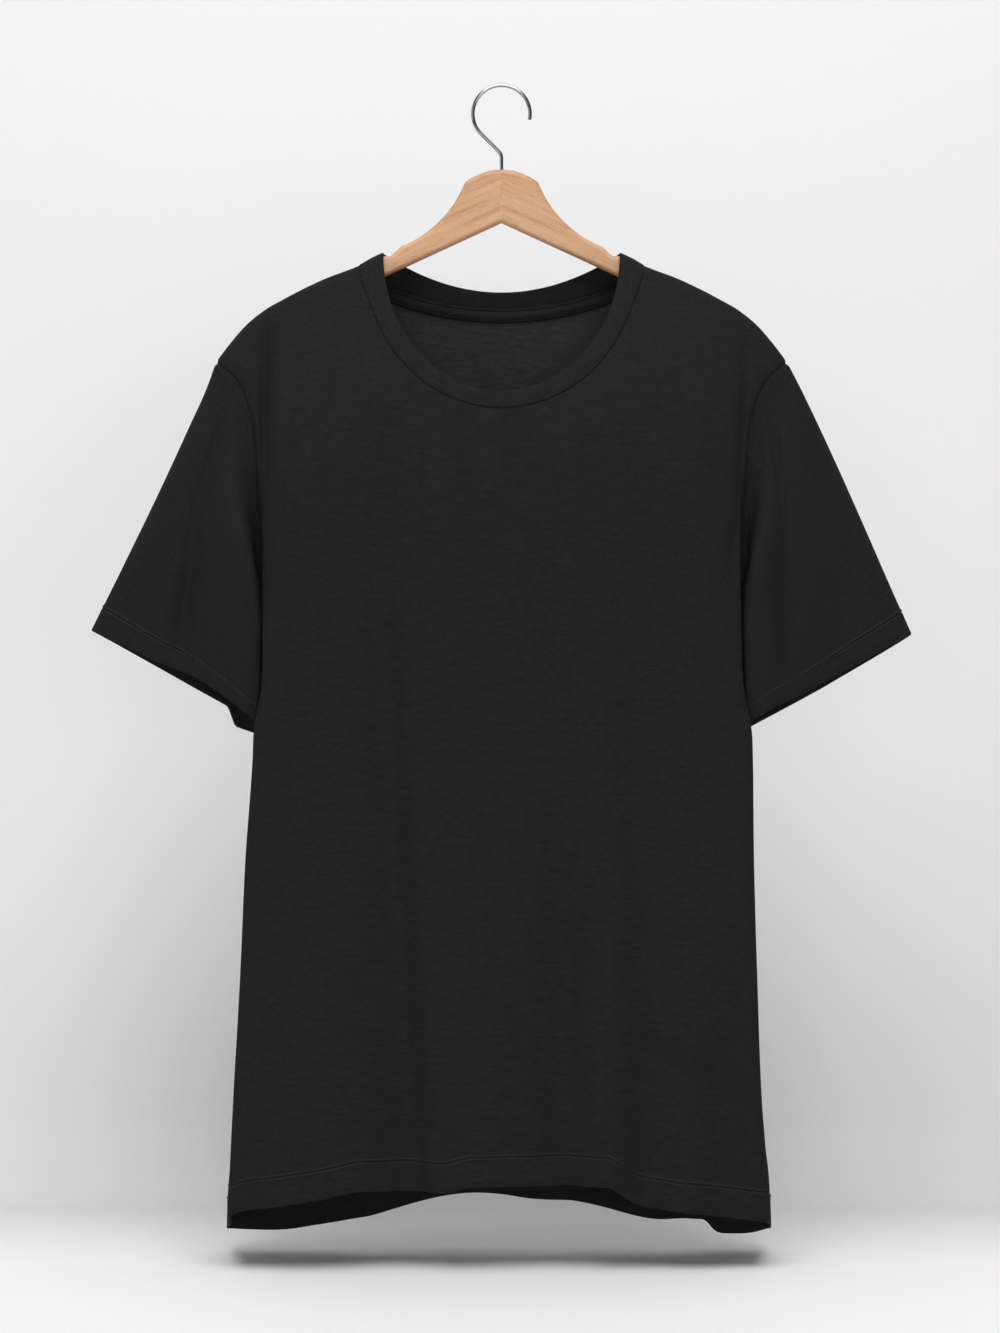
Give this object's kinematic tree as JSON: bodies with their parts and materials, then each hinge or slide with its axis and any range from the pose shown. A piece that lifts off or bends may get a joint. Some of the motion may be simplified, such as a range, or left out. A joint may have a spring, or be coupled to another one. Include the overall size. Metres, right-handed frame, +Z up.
{
  "type": "crew neck t-shirt on a wooden hanger",
  "caption": "Short-sleeved crew neck T-shirt in black heather jersey, hanging on a wooden clothes hanger with a wire hook.",
  "frame": {"origin": "inner top of the hanger's hook, where a rail carries it", "axes": "+Z up, the shirt's front faces -Y, X runs across the shoulders"},
  "size_m": [0.6501, 0.1268, 0.9204],
  "materials": {
    "black_jersey": "matt heather knit",
    "black_rib": "matt rib knit",
    "beech_wood": "clear satin varnish",
    "plated_steel": "polished plating"
  },
  "bodies": {
    "root": {"front_panel": "black_jersey", "back_panel": "black_jersey", "sleeve_left": "black_jersey", "sleeve_right": "black_jersey", "neck_rib": "black_rib", "neck_tape": "black_jersey", "hanger_arm_left": "beech_wood", "hanger_arm_right": "beech_wood", "hanger_hook": "plated_steel"}
  },
  "joints": []
}
